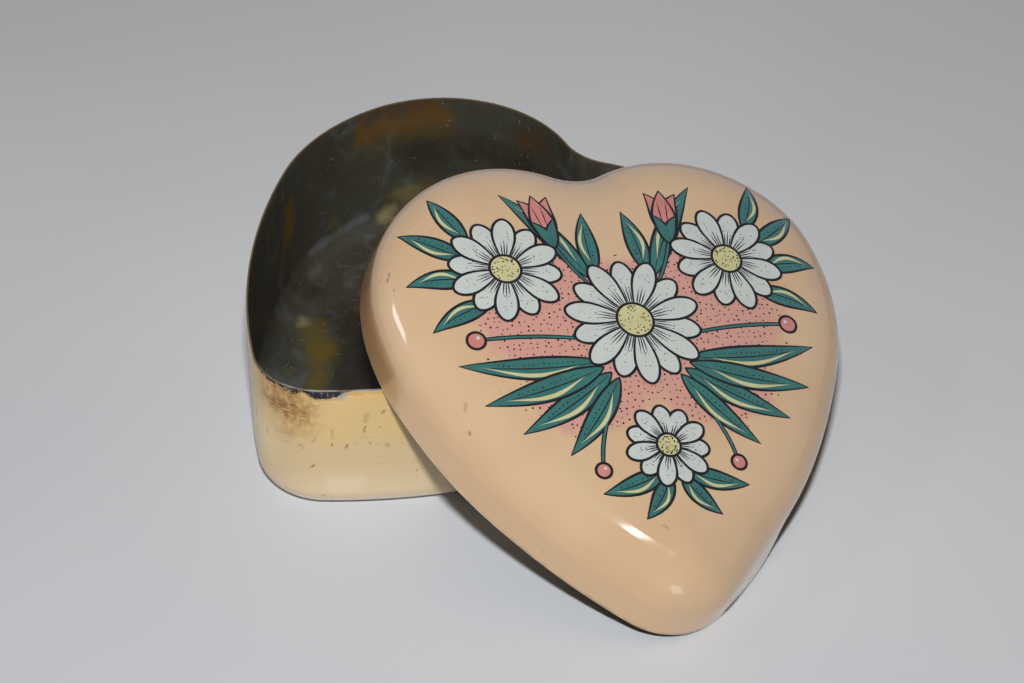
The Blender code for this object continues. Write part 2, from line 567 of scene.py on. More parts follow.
@dataclass(frozen=True)
class LidEnamel:
    """Glossy peach stoving enamel with a soft blush under the print, specks, and nicks on the shoulder, plus
    painted light: a paler skirt, painted shade on the left lobe's skirt and a painted glint on its rim.
    """

    pose: LidPose
    peach: Colour = (201, 167, 128)
    pale: Colour = (205, 174, 137)
    mottle: Cloud = Cloud(16.0, 0.35, 0.65, 3.0)
    # Painted light: the skirt is tinted paler, standing in for light bounced up from the floor.
    tan: Layer = Layer((230, 189, 143), 0.8)
    skirt_bounce_heights: Span = (9.5, 4.0)
    # Painted shade: a brown band on the left lobe's skirt, standing in for its shadow and its reflection of
    # the base's dark inside.
    left_skirt_shade: Stain = Stain((-36.2, 22.0, 2.8), (-35.2, 5.0, 2.4), 4.8, (150, 104, 62), 0.60)
    left_skirt_shade_waver: float = 0.4
    speck: Layer = Layer((150, 110, 80), 0.60)
    specks: Cloud = Cloud(0.42, 0.80, 0.86, 0.0)
    sparse: Cloud = Cloud(7.0, 0.50, 0.64, 1.0)
    grime: Layer = Layer((150, 118, 88), 0.7)
    grime_heights: Span = (0.9, 0.1)
    grime_clouds: Cloud = Cloud(2.2, 0.35, 0.6, 4.0)
    # Painted highlight, not a rubbed patch: a pale line along the left lobe's lower rim, standing in for a
    # glint on its cut edge.
    rubbed: Layer = Layer((252, 238, 214), 0.65)
    rim_glint_heights: Span = (0.50, 0.25)
    rim_glint_side: Span = (-20.0, -26.0)
    mark: Colour = (84, 80, 72)
    blush: Layer = Layer((198, 142, 130), 0.9)
    blush_edge: Span = (1.05, 0.75)
    blush_ovals: tuple[tuple[Plan, Plan], ...] = (
        ((0.0, 5.0), (13.0, 13.0)),
        ((13.0, 9.0), (12.0, 12.0)),
        ((10.0, -4.0), (10.0, 8.0)),
    )
    nicks: tuple[Nick, ...] = (
        Nick((-33.7, 18.7, 9.6), (-34.2, 17.5, 9.3), 0.17),
        Nick((-34.9, 18.2, 8.2), (-35.0, 17.9, 8.1), 0.20, 0.7),
        Nick((-33.8, 15.9, 9.9), (-33.8, 15.6, 9.9), 0.24, 0.7),
        Nick((-27.8, -4.0, 10.9), (-28.0, -4.9, 10.6), 0.34, 0.3),
        Nick((-27.8, -8.0, 9.7), (-27.8, -8.3, 9.6), 0.30, 0.6),
        Nick((-3.7, -26.2, 12.4), (-3.2, -26.6, 12.3), 0.25, 0.4),
        Nick((-29.6, 25.5, 10.5), (-29.4, 25.8, 10.5), 0.15, 0.5),
        Nick((22.0, 31.0, 9.5), (22.9, 30.4, 9.6), 0.14, 0.7),
        Nick((31.5, -2.0, 8.6), (31.1, -3.2, 8.6), 0.16, 0.8),
    )

    def blush_mask(self, bench: Bench, place: Wire) -> Wire:
        """Where the enamel is blushed: soft ovals, mirrored across the heart, with a wavering edge."""
        across, along, _ = bench.axes(place)
        folded = bench.node("ShaderNodeCombineXYZ", inputs={0: across.absolute(), 1: along})
        waver = bench.noise(place, grain=4.0, detail=3.0) * 0.5 - 0.25
        ovals = [bench.oval(folded, (*centre, 0.0), (*radii, 1.0)) for centre, radii in self.blush_ovals]
        return reduce(Wire.larger, [bench.step(oval + waver, *self.blush_edge) for oval in ovals])

    def make(self) -> bpy.types.Material:
        """The material: mottled peach, a painted paler skirt, painted shade on the left skirt, blush, specks,
        grime, a painted glint on the left rim and nicks, under a clear gloss.
        """
        bench = Bench.material("lid enamel")
        place = bench.place(self.pose.turn, self.pose.origin)
        across, _, height = bench.axes(place)
        uneven = bench.noise(place, grain=3.0, detail=3.0)
        colour = bench.mix(self.mottle.mask(bench, place), linear(self.peach), linear(self.pale))
        # Painted light: the skirt tinted paler for floor bounce.
        colour = self.tan.over(bench, bench.step(height, *self.skirt_bounce_heights), colour)
        # Painted shade on the left lobe's skirt.
        colour = self.left_skirt_shade.over(bench, place, (uneven - 0.5) * self.left_skirt_shade_waver, colour)
        colour = self.blush.over(bench, self.blush_mask(bench, place), colour)
        specks = self.specks.mask(bench, place) * self.sparse.mask(bench, place)
        colour = self.speck.over(bench, specks, colour)
        rim = bench.step(height, *self.grime_heights) * self.grime_clouds.mask(bench, place)
        colour = self.grime.over(bench, rim, colour)
        # Painted highlight along the left lobe's lower rim.
        rim_glint_mask = bench.step(height, *self.rim_glint_heights) * bench.step(across, *self.rim_glint_side)
        colour = self.rubbed.over(bench, rim_glint_mask, colour)
        ragged = bench.wander(place, scale=2.5, detail=2.0, spread=0.5)
        worn = specks * 0.5
        for nick in self.nicks:
            mask = nick.mask(bench, ragged)
            colour = bench.tint(mask, colour, self.mark)
            worn = worn.larger(mask)
        bench.bump(bench.noise(place, grain=1.1, detail=1.0) - worn, 6 * MICRON)
        return bench.finish(
            Base_Color=colour,
            Roughness=0.34 + uneven * 0.12,
            Coat_Weight=1.0 - worn * 0.8,
            **LID_GLOSS,
        )


@dataclass(frozen=True)
class BaseEnamel:
    """Yellowed cream enamel: deeper where the lid covered it, rubbed brown and chipped bare at the tip, with
    painted bounce light low on the wall and left of the tip.
    """

    rim_height: float = 23.1
    cream: Colour = (214, 190, 146)
    # Paler cream low on the wall: partly the enamel's own tone, partly painted light standing in for floor
    # bounce.
    low_cream_and_bounce_light: Colour = (226, 203, 168)
    cream_heights: Span = (2.0, 10.0)
    # Painted light: the bottom corner tinted paler, standing in for floor bounce.
    foot: Layer = Layer((255, 244, 220), 0.8)
    foot_bounce_heights: Span = (3.0, 1.0)
    covered: Layer = Layer((220, 189, 130), 0.9)
    covered_heights: Span = (10.5, 16.5)
    covered_waver: float = 5.0
    # Painted light: a paler patch on the wall left of the tip, standing in for light on that flank.
    flank: Layer = Layer((255, 232, 184), 0.75)
    flank_light_patch: Patch = Patch((-5.5, -35.0, 11.0), 9.0, 0.95)
    grime: Layer = Layer((118, 104, 62), 0.55)
    grime_height: float = 13.0
    grime_band: Span = (1.7, 0.3)
    grime_clouds: Cloud = Cloud(1.6, 0.56, 0.72, 5.0, 0.8)
    scuff: Layer = Layer((118, 104, 62), 0.12)
    scuff_stretch: Place = (0.12, 0.12, 1.9)
    scuffs: Cloud = Cloud(1.0, 0.60, 0.72, 5.0)
    speck: Layer = Layer((92, 78, 50), 0.5)
    specks: Cloud = Cloud(0.7, 0.75, 0.79, 1.0)
    stain: Layer = Layer((156, 110, 62), 0.9)
    rub_centre: Place = (2.4, -36.1, 19.3)
    rub_radii: Place = (6.2, 4.0, 6.4)
    rub_waver: float = 1.8
    rub_edge: Span = (1.2, 0.2)
    rub_mottle: Cloud = Cloud(0.9, 0.34, 0.64, 5.0)
    scratch: Layer = Layer((96, 64, 38), 0.85)
    hair_stretch: Place = (0.4, 0.4, 5.0)
    hairs: Cloud = Cloud(1.0, 0.54, 0.66, 3.0, 0.2)
    hair_clouds: Cloud = Cloud(2.0, 0.40, 0.58)
    metal: Colour = (62, 62, 64)
    pale_metal: Layer = Layer((150, 153, 158), 0.6)
    metal_flecks: Cloud = Cloud(0.45, 0.50, 0.66, 3.0)
    singed: Layer = Layer((156, 110, 62), 0.35)
    singed_reach: float = 0.8
    broad_chip: Patch = Patch((2.0, -36.2, 23.1), 8.5, 0.9)
    deep_chip: Patch = Patch((7.4, -33.5, 23.1), 3.8, 0.9)
    chip_edge: Span = (-0.12, 0.16)
    # Marks on the enamel, and one painted highlight.
    marks: tuple[Stain, ...] = (
        Stain((9.0, -32.2, 21.7), (9.3, -31.9, 22.5), 0.8, (150, 156, 162), 0.60),
        # Painted highlight: a pale patch low on the rounded corner, standing in for a soft reflection.
        Stain((8.0, -32.7, 5.0), (9.8, -31.4, 5.2), 2.2, (242, 224, 196), 0.32),
        Stain((11.0, -30.5, 22.2), (14.5, -27.2, 22.2), 1.6, (226, 172, 96), 0.30),
    )
    nicks: tuple[Nick, ...] = (
        Nick((11.6, -29.8, 18.4), (11.4, -30.0, 17.2), 0.60, 0.25),
        Nick((11.4, -30.0, 16.2), (11.3, -30.1, 15.2), 0.35, 0.45),
        Nick((7.8, -33.2, 15.6), (7.8, -33.2, 14.3), 0.45, 0.2),
        Nick((9.4, -31.8, 12.9), (9.2, -31.9, 12.3), 0.22, 0.9),
        Nick((9.0, -32.0, 13.6), (8.2, -32.7, 13.3), 0.16, 0.6),
        Nick((13.4, -28.0, 19.0), (13.3, -28.1, 18.7), 0.30, 0.7),
        Nick((14.2, -27.2, 18.2), (14.1, -27.3, 18.0), 0.22, 0.5),
        Nick((5.6, -34.9, 9.0), (4.8, -35.3, 7.9), 0.14, 0.6),
        Nick((7.7, -33.2, 13.2), (7.6, -33.3, 12.6), 0.20, 0.6),
        Nick((6.6, -34.2, 3.0), (6.3, -34.3, 2.9), 0.18, 0.6),
        Nick((-24.0, -17.5, 15.0), (-23.2, -18.5, 14.2), 0.20, 0.7),
        Nick((-34.9, 8.0, 10.0), (-35.0, 9.2, 9.6), 0.18, 0.7),
        Nick((30.0, 27.0, 14.0), (30.6, 26.0, 13.0), 0.22, 0.7),
        Nick((-14.0, 36.4, 9.0), (-12.8, 36.4, 9.4), 0.18, 0.7),
    )

    def make(self) -> bpy.types.Material:
        """The material: cream zones with painted bounce light, grime, a rub, scratches, chips, nicks and a
        painted highlight, under a thin old gloss.
        """
        bench = Bench.material("base enamel")
        place = bench.place()
        _, _, height = bench.axes(place)
        below_rim = self.rim_height - height
        waver = bench.noise(place, grain=5.0, detail=4.0) - 0.5
        colour = self.zones(bench, place, height, waver)
        rub, scratches = self.rubbed(bench, place, waver)
        colour = self.stain.over(bench, rub, colour)
        colour = self.scratch.over(bench, scratches, colour)
        chips = self.chips(bench, place, below_rim)
        colour = self.singed.over(bench, self.chips(bench, place, below_rim - self.singed_reach), colour)
        metal = self.pale_metal.over(bench, self.metal_flecks.mask(bench, place), linear(self.metal))
        colour = bench.mix(chips, colour, metal)
        # Marks, one of them a painted highlight.
        for stain in self.marks:
            colour = stain.over(bench, place, waver * stain.radius, colour)
        ragged = bench.wander(place, scale=2.2, detail=3.0, spread=0.9)
        worn = chips
        for nick in self.nicks:
            mask = nick.mask(bench, ragged)
            colour = bench.tint(mask, colour, self.speck.colour)
            worn = worn.larger(mask * 0.6)
        bench.bump(bench.noise(place, grain=0.9) * 0.5 + (1.0 - worn), 14 * MICRON)
        return bench.finish(
            Base_Color=colour,
            Metallic=chips * 0.85,
            Roughness=0.36 + rub * 0.2 + bench.noise(place, grain=2.0, detail=3.0) * 0.12,
            Coat_Weight=(1.0 - worn) * (1.0 - rub * 0.7) * 0.35,
            Coat_Roughness=0.16,
            Specular_IOR_Level=0.3,
        )

    def zones(self, bench: Bench, place: Wire, height: Wire, waver: Wire) -> Wire:
        """Cream by height: deep yellow where the lid sat, paler below, partly as painted bounce light, with
        painted light on the bottom corner and left of the tip, and grime.
        """
        edge = height + waver * self.covered_waver
        # Paler low down, partly painted bounce light.
        raised = bench.step(height, *self.cream_heights)
        colour = bench.mix(raised, linear(self.low_cream_and_bounce_light), linear(self.cream))
        # Painted light on the bottom corner.
        colour = self.foot.over(bench, bench.step(height, *self.foot_bounce_heights), colour)
        colour = self.covered.over(bench, bench.step(edge, *self.covered_heights), colour)
        # Painted light on the flank left of the tip.
        colour = self.flank.over(bench, self.flank_light_patch.mask(bench, place), colour)
        band = bench.step((edge - self.grime_height).absolute(), *self.grime_band)
        colour = self.grime.over(bench, band * self.grime_clouds.mask(bench, place), colour)
        drawn = bench.vector("MULTIPLY", place, self.scuff_stretch)
        colour = self.scuff.over(bench, self.scuffs.mask(bench, drawn), colour)
        return self.speck.over(bench, self.specks.mask(bench, place), colour)

    def rubbed(self, bench: Bench, place: Wire, waver: Wire) -> tuple[Wire, Wire]:
        """The patch rubbed by fingers at the tip: a soft mottled stain, and fine scratches round the wall."""
        out = bench.oval(place, self.rub_centre, self.rub_radii) + waver * self.rub_waver
        patch = bench.step(out, *self.rub_edge)
        mottled = patch * (0.35 + self.rub_mottle.mask(bench, place) * 0.65)
        drawn = bench.vector("MULTIPLY", place, self.hair_stretch)
        return mottled, patch * self.hairs.mask(bench, drawn) * self.hair_clouds.mask(bench, place)

    def chips(self, bench: Bench, place: Wire, below_rim: Wire) -> Wire:
        """Bare metal: a thin ragged line all along the rim, deeper round the tip, with flecks at its edge."""
        broad = self.broad_chip.mask(bench, place)
        ragged = bench.noise(place, grain=1.3, detail=4.0) - 0.5
        flecks = bench.noise(place, grain=0.28) - 0.5
        depth = 0.04 + broad * 0.75 + self.deep_chip.mask(bench, place) * 1.7
        depth = depth + ragged * (0.9 + broad * 2.0) + flecks * (0.6 + broad * 2.2)
        return bench.step(depth - below_rim, *self.chip_edge)


@dataclass(frozen=True)
class TarnishedTin:
    """Bare tinplate gone nearly black, with gold and rust stains and a pale bloom."""

    name: str
    turn: Place = (0.0, 0.0, 0.0)
    origin: Place = (0.0, 0.0, 0.0)
    dark: Colour = (70, 70, 62)
    brown: Colour = (70, 65, 54)
    clouds: Cloud = Cloud(14.0, 0.40, 0.62, 4.0, 0.5)
    slate: Layer = Layer((98, 100, 98), 0.55)
    haze: Cloud = Cloud(7.0, 0.52, 0.74, 5.0, 1.2)
    gold: Layer = Layer((120, 102, 44), 0.25)
    mottle: Cloud = Cloud(5.5, 0.60, 0.76, 4.0, 0.4)
    bloom: Layer = Layer((140, 140, 130), 0.6)
    bloom_specks: Cloud = Cloud(0.9, 0.68, 0.78)
    bloom_clouds: Cloud = Cloud(9.0, 0.45, 0.6)
    dust_specks: Cloud = Cloud(0.5, 0.68, 0.78, 1.0)
    dust_clouds: Cloud = Cloud(5.0, 0.45, 0.6)
    stain_waver: float = 1.8
    scratch_stretch: Place = (0.25, 1.6, 0.4)
    stains: tuple[Stain, ...] = ()

    def make(self) -> bpy.types.Material:
        """The material: dark and brown clouds, slate sheen, stains with soft edges, and specks of bloom."""
        bench = Bench.material(self.name)
        place = bench.place(self.turn, self.origin)
        colour = bench.mix(self.clouds.mask(bench, place), linear(self.dark), linear(self.brown))
        haze = self.haze.mask(bench, place)
        colour = self.slate.over(bench, haze, colour)
        mottle = self.mottle.mask(bench, place)
        colour = self.gold.over(bench, mottle, colour)
        waver = (bench.noise(place, grain=3.0, detail=4.0) - 0.5) * self.stain_waver
        for stain in self.stains:
            colour = stain.over(bench, place, waver, colour)
        bloom = self.bloom_specks.mask(bench, place) * self.bloom_clouds.mask(bench, place)
        dust = self.dust_specks.mask(bench, place) * self.dust_clouds.mask(bench, place)
        colour = self.bloom.over(bench, bloom.larger(dust), colour)
        scratches = bench.noise(bench.vector("MULTIPLY", place, self.scratch_stretch), grain=1.0, detail=4.0)
        bench.bump(bench.noise(place, grain=2.5, detail=4.0) * 0.6 + scratches * 0.4, 30 * MICRON)
        return bench.finish(
            Base_Color=colour,
            Metallic=0.12 - mottle * 0.1,
            Roughness=0.44 + haze * 0.20 + bloom * 0.20,
            Specular_IOR_Level=0.12,
        )


@dataclass(frozen=True)
class CutEdge:
    """The sheet's cut edge: brown with tarnish, and bright tin where it is worn about one place."""

    name: str
    worn: Patch
    bright: Colour = (176, 173, 166)
    brown: Colour = (104, 84, 54)
    tarnish: Cloud = Cloud(2.6, 0.40, 0.58, 5.0)

    def make(self) -> bpy.types.Material:
        """The material: tarnished metal that brightens towards the worn place, in uneven lengths."""
        bench = Bench.material(self.name)
        place = bench.place()
        worn = self.worn.mask(bench, place) * (1.0 - self.tarnish.mask(bench, place) * 0.85)
        colour = bench.mix(worn, linear(self.brown), linear(self.bright))
        bench.bump(bench.noise(place, grain=0.35, detail=3.0), 4 * MICRON)
        return bench.finish(Base_Color=colour, Metallic=0.2 + worn * 0.4, Roughness=0.5 - worn * 0.15)


@dataclass(frozen=True)
class PrintInk:
    """Printing ink under the lid's gloss: a main colour that clouds a little towards a second one."""

    name: str
    colour: Colour
    second: Colour
    pose: LidPose
    gloss: float = 1.0
    clouds: Cloud = Cloud(3.5, 0.35, 0.70, 3.0)
    grains: Cloud = Cloud(0.30, 0.40, 0.75, 1.0)

    def make(self) -> bpy.types.Material:
        """The material: soft clouds and a fine grain between the two colours, under a clear gloss."""
        bench = Bench.material(self.name)
        place = bench.place(self.pose.turn, self.pose.origin)
        grain = self.grains.mask(bench, place)
        share = self.clouds.mask(bench, place) * 0.55 + grain * 0.35
        bench.bump(bench.noise(place, grain=1.1, detail=1.0), 4 * MICRON)
        return bench.finish(
            Base_Color=bench.mix(share, linear(self.colour), linear(self.second)),
            Roughness=0.36 + grain * 0.10,
            Specular_IOR_Level=0.5 * self.gloss,
            Coat_Weight=self.gloss - grain * 0.1,
            **LID_GLOSS,
        )


# Pressed sheets


@dataclass
class BaseTin:
    """The base: one heart-shaped cup drawn from sheet, with a rounded bottom corner."""

    outline: HeartOutline
    sheet: Sheet
    height: float = 0.0231
    corner_radius: float = 0.0038
    corner_steps: int = 14
    floor_shrinks: tuple[float, ...] = (0.12, 0.35, 0.60, 0.85)
    wall_steps: int = 8
    edge_finish: CutEdge = CutEdge("base cut edge", Patch((11.0, -30.5, 23.1), 15.0, 0.5))

    def outer_rings(self, rim: Rim) -> Array:
        """Rings of the outer skin, from the underside round the corner and up the wall.

        The underside's rings are the corner's foot shrunk towards the middle. On the corner the inset is the
        radius times 1 - sin and the height the radius times 1 - cos of a quarter turn.

        Args:
            rim: The outer skin's outline.

        Returns:
            Rings, (rows, count, 3).
        """
        turn = np.linspace(0.0, math.pi / 2, self.corner_steps + 1)
        insets = self.corner_radius * (1.0 - np.sin(turn))
        corner = rim.rings(insets, self.corner_radius * (1.0 - np.cos(turn)))
        underside = corner[:1] * np.array(self.floor_shrinks)[:, None, None]
        top = self.height - self.sheet.thickness / 2
        heights = np.linspace(self.corner_radius, top, self.wall_steps + 1)[1:]
        wall = rim.rings(np.zeros_like(heights), heights)
        return np.concatenate([underside, corner, wall])

    def build(self) -> bpy.types.Object:
        """Builds and dresses the base, in place of its CAD solid.

        Returns:
            The base's piece.
        """
        rim = self.outline.sample(self.sheet.around)
        outer = self.outer_rings(rim)
        inner = self.sheet.skins(outer)[::-1]
        turns = np.linspace(0.0, math.pi, self.sheet.edge_steps + 1)[1:-1]
        edge = self.sheet.cut_edge(rim, self.height - self.sheet.thickness / 2, turns)
        rings = np.concatenate([outer, edge, inner])
        poles = np.array([[0.0, 0.0, 0.0], [0.0, 0.0, self.sheet.thickness]])
        bands = band_slots((Band.OUTSIDE, len(outer)), (Band.EDGE, len(edge) + 1), (Band.INSIDE, len(inner)))
        finishes = [finish.make() for finish in (BaseEnamel(), self.inside(), self.edge_finish)]
        piece = closed_shell("base_sheet", rings, poles, bands, finishes)
        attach(piece, "base")
        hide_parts("base_tin")
        return piece

    def inside(self) -> TarnishedTin:
        """The tarnish inside, with its stains on the floor and the walls, a painted shadow on the floor and a
        partly painted sheen in the bottom corner, in millimetres.
        """
        gold = (106, 88, 30)
        brown = (88, 60, 30)
        dark = (44, 36, 28)
        rust = (108, 76, 38)
        pale = (150, 144, 104)
        slate = (108, 112, 120)
        return TarnishedTin(
            "base tarnish",
            stains=(
                # Painted shadow: a dark band on the floor right of the gold streak, standing in for the lid's
                # shadow.
                Stain((-19.5, 1.5, 0.3), (-7.0, -12.5, 0.3), 5.5, dark, 0.75),
                Stain((-31.5, 1.0, 0.8), (-30.5, 2.6, 0.5), 4.0, dark, 0.55),
                Stain((-30.5, -3.5, 0.6), (-23.5, -14.0, 0.6), 4.5, dark, 0.50),
                Stain((-29.4, 28.9, 12.8), (-27.0, 31.2, 12.0), 5.5, dark, 0.55),
                Stain((-33.9, 20.2, 22.3), (-28.2, 30.2, 22.0), 1.6, brown, 0.60),
                Stain((-22.0, 34.2, 13.5), (-14.0, 36.3, 12.5), 4.2, dark, 0.50),
                Stain((-14.5, 36.2, 18.0), (-10.0, 36.0, 19.0), 2.4, brown, 0.55),
                Stain((-31.4, 26.1, 4.9), (-30.6, 27.2, 5.4), 2.2, pale, 0.35),
                Stain((-23.0, -4.5, 0.3), (-18.5, -7.2, 0.3), 3.2, gold, 0.60),
                Stain((-18.5, -7.2, 0.3), (-12.5, -15.0, 0.3), 2.2, gold, 0.60),
                Stain((-25.8, -3.5, 0.3), (-25.4, -3.9, 0.3), 1.5, pale, 0.6),
                Stain((-32.3, 22.7, 2.2), (-31.6, 24.5, 3.0), 1.5, pale, 0.60),
                Stain((-31.5, 25.0, 4.0), (-29.0, 29.0, 5.0), 3.2, gold, 0.45),
                Stain((-32.9, 1.4, 11.5), (-32.7, 1.8, 14.5), 3.0, gold, 0.85),
                Stain((-33.3, 20.5, 17.5), (-26.8, 31.3, 18.5), 3.6, gold, 0.40),
                Stain((-33.3, 20.5, 18.6), (-26.8, 31.3, 20.0), 2.6, rust, 0.65),
                # A blue-grey streak along the inner bottom corner: partly painted sheen, standing in for that
                # corner's reflection.
                Stain((-34.5, 7.5, 2.6), (-33.5, 19.8, 2.8), 0.9, slate, 0.45),
                Stain((10.0, 8.0, 0.3), (16.0, 3.0, 0.3), 4.0, gold, 0.45),
                Stain((27.0, -7.0, 13.0), (25.0, -10.0, 17.0), 3.0, rust, 0.60),
            ),
        )


@dataclass(frozen=True)
class Bulge:
    """A stretch of the lid's outline that is out of true: its middle, reach, push and drop in millimetres."""

    centre: Plan
    reach: float
    push: float
    drop: float = 0.0

    def share(self, points: Array) -> Array:
        """How far each point, in metres, follows it: exp of minus the square of distance over reach."""
        distance = np.linalg.norm(points - np.array(self.centre) * MM, axis=-1)
        return np.exp(-((distance / (self.reach * MM)) ** 2))


@dataclass
class LidTin:
    """The lid: one heart-shaped cap drawn from sheet, with a straight skirt, round shoulder and low dome."""

    outline: HeartOutline
    sheet: Sheet
    pose: LidPose
    slip_gap: float = 0.0007
    skirt_height: float = 0.0048
    shoulder_width: float = 0.0093
    shoulder_rise: float = 0.0076
    shoulder_power: float = 2.5
    dome_rise: float = 0.0015
    dome_centre_below_crown: float = 0.0100
    skirt_steps: int = 6
    shoulder_steps: int = 28
    dome_steps: int = 16
    search_samples: int = 1440
    search_chunk: int = 4000
    slope_step: float = 0.05 * MM
    edge_finish: CutEdge = CutEdge("lid cut edge", Patch((35.5, 0.0, 14.6), 150.0, 0.5))
    flare: Bulge = Bulge((15.0, -27.5), 8.5, 1.35, 0.75)
    flare_power: float = 1.4
    flare_top: float = 0.0085
    bulges: tuple[Bulge, ...] = (
        Bulge((-28.0, -11.0), 12.0, 0.40),
        Bulge((-35.5, 18.0), 8.0, 0.30),
        Bulge((34.5, 25.0), 10.0, 0.50),
        Bulge((15.0, -27.5), 8.5, -0.90),
    )

    @property
    def stands_out(self) -> float:
        """How far the lid's outer skin lies outside the base's."""
        return self.sheet.thickness + self.slip_gap

    @property
    def dome_centre(self) -> Array:
        """The middle of the dome in plan."""
        return np.array([0.0, self.outline.crown_y - self.dome_centre_below_crown])

    def slopes(self, rim: Rim) -> Array:
        """The dome's slope where the shoulder meets it: twice its rise over the distance to its edge."""
        dome_edge = rim.points - rim.normals * self.shoulder_width
        return 2 * self.dome_rise / ((dome_edge - self.dome_centre) * rim.normals).sum(axis=-1)

    def shoulder_height(self, inset: Array, slope: Array) -> Array:
        """The shoulder's height: a quarter of a squarish oval over the inset, sloped to run into the dome."""
        across = np.clip(1.0 - inset / self.shoulder_width, 0.0, 1.0)
        steep = self.shoulder_rise - slope * self.shoulder_width
        up = (1.0 - across**self.shoulder_power) ** (1.0 / self.shoulder_power)
        return self.skirt_height + steep * up + slope * inset

    def rim(self, count: int) -> Rim:
        """The outer skin's outline, pushed a little out of true.

        Each bulge moves a point along its normal by a share of its push. The new normals stand across the
        step between a point's neighbours.

        Args:
            count: How many points, an even number.

        Returns:
            The outline.
        """
        true = self.outline.sample(count, self.stands_out)
        points = true.points
        for bulge in self.bulges:
            points = points + true.normals * (bulge.push * MM * bulge.share(points))[:, None]
        along = np.roll(points, -1, axis=0) - np.roll(points, 1, axis=0)
        return Rim(points, unit(np.stack([along[:, 1], -along[:, 0]], axis=-1)))

    def outer_rings(self, rim: Rim) -> Array:
        """Rings of the outer skin, from the cut edge up the skirt, round the shoulder and in over the dome.

        The dome's rings are the shoulder's last ring shrunk towards the middle, and rise by the dome's rise
        times 1 - shrink squared.

        Args:
            rim: The outer skin's outline.

        Returns:
            Rings, (rows, count, 3).
        """
        heights = np.linspace(self.sheet.thickness / 2, self.skirt_height, self.skirt_steps + 1)[:-1]
        skirt = rim.rings(np.zeros_like(heights), heights)
        turn = np.linspace(0.0, math.pi / 2, self.shoulder_steps + 1)
        insets = self.shoulder_width * (1.0 - np.abs(np.cos(turn)) ** (2.0 / self.shoulder_power))
        shoulder = rim.rings(insets, np.zeros_like(insets))
        shoulder[..., 2] = self.shoulder_height(insets[:, None], self.slopes(rim)[None])
        shrinks = np.linspace(1.0, 0.0, self.dome_steps + 1)[1:-1, None, None]
        centre = np.array([*self.dome_centre, self.skirt_height + self.shoulder_rise])
        dome = centre + (shoulder[-1:] - centre) * shrinks
        dome[..., 2] += self.dome_rise * (1.0 - shrinks[..., 0] ** 2)
        return np.concatenate([self.flared(np.concatenate([skirt, shoulder]), rim), dome])

    def flared(self, rings: Array, rim: Rim) -> Array:
        """Rings of the sheet bent out and down at the flare, by a power of how far they lie below its top.

        Args:
            rings: Rings, (rows, count, 3).
            rim: The outline that they follow.

        Returns:
            The bent rings.
        """
        low = np.clip(1.0 - rings[..., 2] / self.flare_top, 0.0, 1.0) ** self.flare_power
        bend = (low * self.flare.share(rings[..., :2]) * MM)[..., None]
        outward = np.insert(rim.normals * self.flare.push, 2, -self.flare.drop, axis=-1)
        return rings + outward[None] * bend

    def surface(self, plan: Array) -> Array:
        """The outer skin's height over plan places, all in metres.

        On the dome it falls with the square of the share of the way to the dome's edge. Outside that edge it
        is the shoulder's height at the distance to the nearest point of the outline.

        Args:
            plan: Places in the lid's own plan, (..., 2).

        Returns:
            Heights, (...).
        """
        flat = plan.reshape(-1, 2)
        rim = self.rim(self.search_samples)
        edge = rim.points - rim.normals * self.shoulder_width - self.dome_centre
        edge_angle = np.arctan2(edge[:, 1], edge[:, 0])
        offset = flat - self.dome_centre
        angle = np.arctan2(offset[:, 1], offset[:, 0])
        reach = np.interp(angle, edge_angle, np.linalg.norm(edge, axis=-1), period=2 * math.pi)
        share = np.linalg.norm(offset, axis=-1) / reach
        height = self.skirt_height + self.shoulder_rise + self.dome_rise * (1.0 - share**2)
        outside = np.flatnonzero(share > 1.0)
        slopes = self.slopes(rim)
        for start in range(0, len(outside), self.search_chunk):
            part = outside[start : start + self.search_chunk]
            distance = np.linalg.norm(flat[part, None] - rim.points[None], axis=-1)
            nearest = distance.argmin(axis=1)
            height[part] = self.shoulder_height(distance.min(axis=1), slopes[nearest])
        return height.reshape(plan.shape[:-1])

    def raised(self, plan: Array, lift: float) -> Array:
        """Places on the outer skin moved out along its normal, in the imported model's frame.

        The normal comes from the height's differences over a small step in plan.

        Args:
            plan: Places in the lid's own plan, (..., 2), in metres.
            lift: How far above the skin, in metres.

        Returns:
            Points, (..., 3).
        """
        reach = self.slope_step
        across = np.array([reach, 0.0])
        along = np.array([0.0, reach])
        slope_x = (self.surface(plan + across) - self.surface(plan - across)) / (2 * reach)
        slope_y = (self.surface(plan + along) - self.surface(plan - along)) / (2 * reach)
        normal = unit(np.stack([-slope_x, -slope_y, np.ones_like(slope_x)], axis=-1))
        points = np.concatenate([plan, self.surface(plan)[..., None]], axis=-1)
        return self.pose.carry(points + normal * lift)

    def build(self) -> bpy.types.Object:
        """Builds and dresses the lid, in place of its CAD solid.

        Returns:
            The lid's piece.
        """
        rim = self.rim(self.sheet.around)
        outer = self.outer_rings(rim)
        inner = self.sheet.skins(outer)[::-1]
        turns = -np.linspace(0.0, math.pi, self.sheet.edge_steps + 1)[1:-1][::-1]
        edge = self.flared(self.sheet.cut_edge(rim, self.sheet.thickness / 2, turns), rim)
        rings = np.concatenate([inner, edge, outer])
        top = self.skirt_height + self.shoulder_rise + self.dome_rise
        poles = np.array([[*self.dome_centre, top - self.sheet.thickness], [*self.dome_centre, top]])
        bands = band_slots((Band.INSIDE, len(inner)), (Band.EDGE, len(edge) + 1), (Band.OUTSIDE, len(outer)))
        inside = TarnishedTin("lid tarnish", self.pose.turn, self.pose.origin)
        finishes = [finish.make() for finish in (LidEnamel(self.pose), inside, self.edge_finish)]
        piece = closed_shell("lid_sheet", self.pose.carry(rings), self.pose.carry(poles), bands, finishes)
        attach(piece, "lid")
        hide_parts("lid_tin")
        return piece


# The printed flowers


